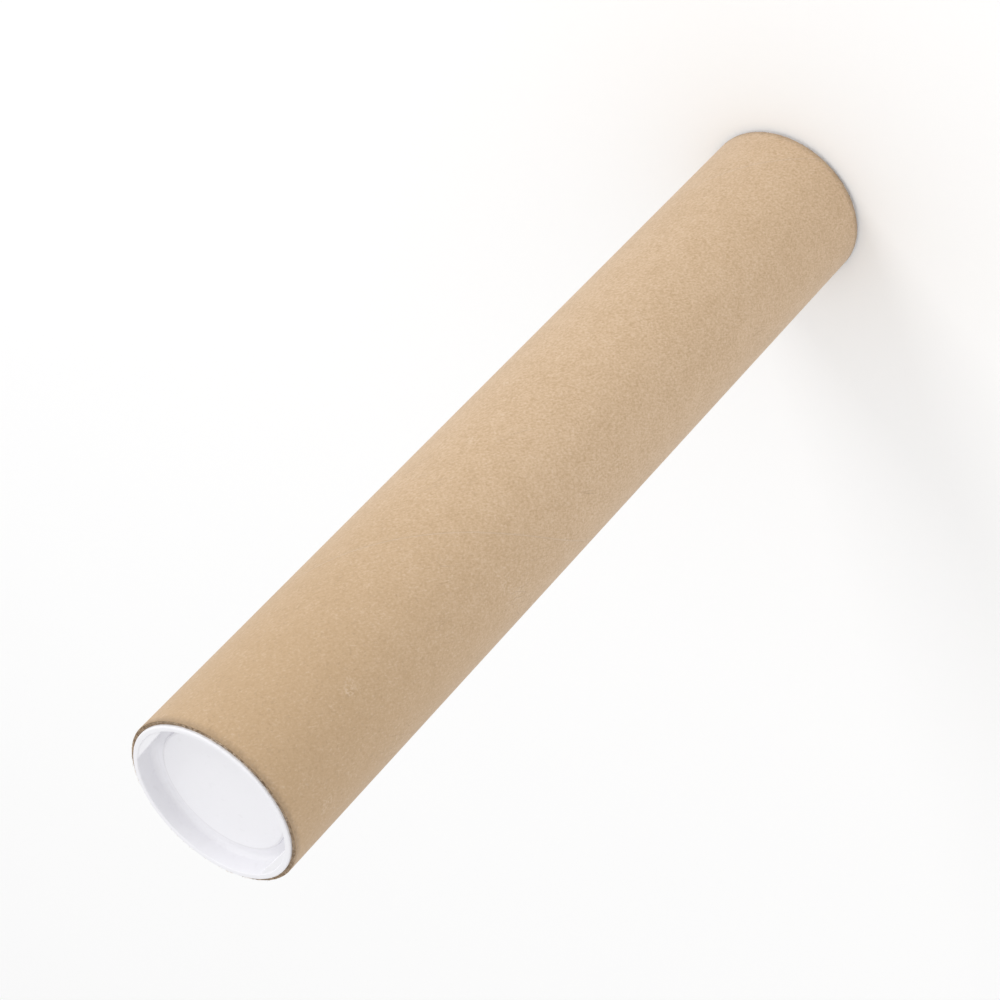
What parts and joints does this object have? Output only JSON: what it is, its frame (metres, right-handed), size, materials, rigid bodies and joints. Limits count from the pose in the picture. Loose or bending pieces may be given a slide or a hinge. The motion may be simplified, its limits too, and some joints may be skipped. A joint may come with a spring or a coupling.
{
  "type": "cardboard mailing tube",
  "caption": "Round spiral-wound board mailing tube, open inside, closed at both ends by recessed plastic plug caps with finger tabs.",
  "frame": {"origin": "centre of the bottom cap's outer face, which the tube stands on", "axes": "+Z along the tube's axis, up; X through the finger tabs of both caps"},
  "size_m": [0.082, 0.082, 0.4532],
  "materials": {
    "kraft_board": "uncoated brown kraft, spirally wound",
    "cap_plastic": "white moulded polyethylene, low sheen"
  },
  "bodies": {
    "tube": {"tube": "kraft_board"},
    "top_cap": {"top_cap": "cap_plastic"},
    "bottom_cap": {"bottom_cap": "cap_plastic"}
  },
  "joints": [
    {"name": "top_cap_slide", "type": "slide", "parent": "tube", "child": "top_cap", "axis": [0, 0, 1], "range_m": [0, 0.014]},
    {"name": "bottom_cap_slide", "type": "slide", "parent": "tube", "child": "bottom_cap", "axis": [0, 0, -1], "range_m": [0, 0.014]}
  ]
}
